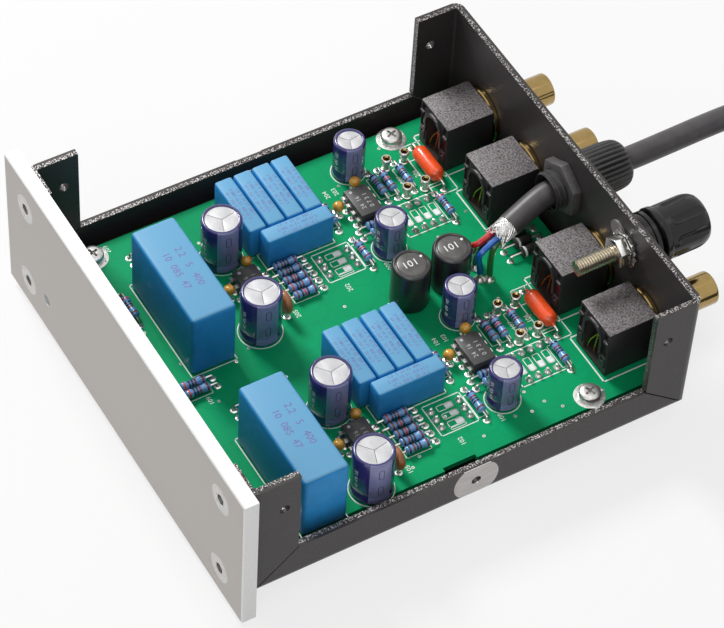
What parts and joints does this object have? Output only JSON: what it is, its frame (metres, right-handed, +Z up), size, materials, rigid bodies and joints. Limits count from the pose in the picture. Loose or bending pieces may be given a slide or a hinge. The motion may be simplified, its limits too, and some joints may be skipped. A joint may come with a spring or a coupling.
{
  "type": "phono preamplifier",
  "caption": "Small two-channel phono preamp with its cover off: folded steel tray, thick front plate, filled circuit board, gilt sockets, ground post and captive cable.",
  "frame": {"origin": "on the table, under the middle of the object's box without its cable", "axes": "+X to the right as seen from the front, -Y out of the front plate, +Y out of the rear sockets, +Z up"},
  "size_m": [0.1503, 0.2651, 0.045],
  "materials": {
    "tray_coat": "matt powder coat with sheared edges",
    "front_metal": "fine matt",
    "screw_steel": "plated",
    "lamp": "clear lens",
    "foot_rubber": "matt",
    "board": "green lacquer with pale print",
    "film_blue": "satin case",
    "can_sleeve": "printed sleeve, bare top",
    "choke_black": "satin sleeve",
    "tube_orange": "lacquer",
    "chip_black": "moulded",
    "bead_amber": "dipped",
    "resistor_blue": "lacquer with bands",
    "tin_metal": "tinned",
    "socket_black": "grained",
    "gold": "gold plate",
    "insulator_white": "smooth",
    "gland_black": "moulded",
    "seal_rubber": "matt",
    "cable_sheath": "satin sheath",
    "wire_sheath": "coloured insulation",
    "knob_black": "moulded",
    "brass_metal": "turned",
    "nut_chrome": "nickel plate",
    "tie_black": "woven strap",
    "plug_black": "moulded",
    "switch_red": "moulded",
    "slider_white": "moulded"
  },
  "bodies": {
    "case": {"chassis_tray": "tray_coat", "front_plate": "front_metal", "front_plate_screws": "screw_steel", "power_led": "lamp", "rubber_feet": "foot_rubber", "board_standoffs": "screw_steel", "circuit_board": "board", "board_screws": "screw_steel", "big_film_capacitors": "film_blue", "film_capacitors_left": "film_blue", "film_capacitors_right": "film_blue", "electrolytics_left": "can_sleeve", "electrolytics_right": "can_sleeve", "supply_chokes": "choke_black", "tubular_capacitors": "tube_orange", "signal_chips": "chip_black", "ceramic_capacitors": "bead_amber", "resistors_left": "resistor_blue", "resistors_right": "resistor_blue", "supply_diodes": "chip_black", "pin_sockets": "tin_metal", "output_housing_left": "socket_black", "input_housing_left": "socket_black", "output_housing_right": "socket_black", "input_housing_right": "socket_black", "socket_shells": "gold", "socket_insulators": "insulator_white", "socket_contacts": "gold", "gland_body": "gland_black", "gland_lock_nut": "gland_black", "gland_dome_nut": "gland_black", "gland_seal": "seal_rubber", "cable_inner_end": "cable_sheath", "cable_screen": "tin_metal", "supply_wires": "wire_sheath", "ground_post_stud": "screw_steel", "ground_post_collar": "knob_black", "ground_post_nut": "nut_chrome", "ground_post_washers": "nut_chrome", "dc_cable": "cable_sheath", "cable_coil": "cable_sheath", "cable_tie": "tie_black", "cable_plug": "plug_black", "switch_banks": "switch_red"},
    "ground_nut": {"ground_post_insert": "brass_metal"},
    "ground_knob": {"ground_post_knob": "knob_black"},
    "impedance_slider_left_1": {"impedance_slider_left_1": "slider_white"},
    "impedance_slider_left_2": {"impedance_slider_left_2": "slider_white"},
    "impedance_slider_left_3": {"impedance_slider_left_3": "slider_white"},
    "impedance_slider_left_4": {"impedance_slider_left_4": "slider_white"},
    "impedance_slider_right_1": {"impedance_slider_right_1": "slider_white"},
    "impedance_slider_right_2": {"impedance_slider_right_2": "slider_white"},
    "impedance_slider_right_3": {"impedance_slider_right_3": "slider_white"},
    "impedance_slider_right_4": {"impedance_slider_right_4": "slider_white"},
    "gain_slider_left_1": {"gain_slider_left_1": "slider_white"},
    "gain_slider_left_2": {"gain_slider_left_2": "slider_white"},
    "gain_slider_left_3": {"gain_slider_left_3": "slider_white"},
    "gain_slider_right_1": {"gain_slider_right_1": "slider_white"},
    "gain_slider_right_2": {"gain_slider_right_2": "slider_white"},
    "gain_slider_right_3": {"gain_slider_right_3": "slider_white"}
  },
  "joints": [
    {"name": "ground_knob_travel", "type": "slide", "parent": "case", "child": "ground_nut", "axis": [0, 1, 0], "range_m": [0, 0.004]},
    {"name": "ground_knob_turn", "type": "hinge", "parent": "ground_nut", "child": "ground_knob", "pos_m": [0.02605, 0.06275, 0.0332], "axis": [0, 1, 0], "range_deg": [0, 2057.3]},
    {"name": "impedance_slider_left_1_travel", "type": "slide", "parent": "case", "child": "impedance_slider_left_1", "axis": [1, 0, 0], "range_m": [0, 0.002]},
    {"name": "impedance_slider_left_2_travel", "type": "slide", "parent": "case", "child": "impedance_slider_left_2", "axis": [1, 0, 0], "range_m": [0, 0.002]},
    {"name": "impedance_slider_left_3_travel", "type": "slide", "parent": "case", "child": "impedance_slider_left_3", "axis": [1, 0, 0], "range_m": [0, 0.002]},
    {"name": "impedance_slider_left_4_travel", "type": "slide", "parent": "case", "child": "impedance_slider_left_4", "axis": [1, 0, 0], "range_m": [0, 0.002]},
    {"name": "impedance_slider_right_1_travel", "type": "slide", "parent": "case", "child": "impedance_slider_right_1", "axis": [1, 0, 0], "range_m": [0, 0.002]},
    {"name": "impedance_slider_right_2_travel", "type": "slide", "parent": "case", "child": "impedance_slider_right_2", "axis": [1, 0, 0], "range_m": [0, 0.002]},
    {"name": "impedance_slider_right_3_travel", "type": "slide", "parent": "case", "child": "impedance_slider_right_3", "axis": [1, 0, 0], "range_m": [0, 0.002]},
    {"name": "impedance_slider_right_4_travel", "type": "slide", "parent": "case", "child": "impedance_slider_right_4", "axis": [1, 0, 0], "range_m": [0, 0.002]},
    {"name": "gain_slider_left_1_travel", "type": "slide", "parent": "case", "child": "gain_slider_left_1", "axis": [0, 1, 0], "range_m": [0, 0.002]},
    {"name": "gain_slider_left_2_travel", "type": "slide", "parent": "case", "child": "gain_slider_left_2", "axis": [0, 1, 0], "range_m": [0, 0.002]},
    {"name": "gain_slider_left_3_travel", "type": "slide", "parent": "case", "child": "gain_slider_left_3", "axis": [0, 1, 0], "range_m": [0, 0.002]},
    {"name": "gain_slider_right_1_travel", "type": "slide", "parent": "case", "child": "gain_slider_right_1", "axis": [0, 1, 0], "range_m": [0, 0.002]},
    {"name": "gain_slider_right_2_travel", "type": "slide", "parent": "case", "child": "gain_slider_right_2", "axis": [0, 1, 0], "range_m": [0, 0.002]},
    {"name": "gain_slider_right_3_travel", "type": "slide", "parent": "case", "child": "gain_slider_right_3", "axis": [0, 1, 0], "range_m": [0, 0.002]}
  ],
  "couplings": [
    {"joint": "ground_knob_turn", "follows": "ground_knob_travel", "rad_per_m": 8976}
  ]
}
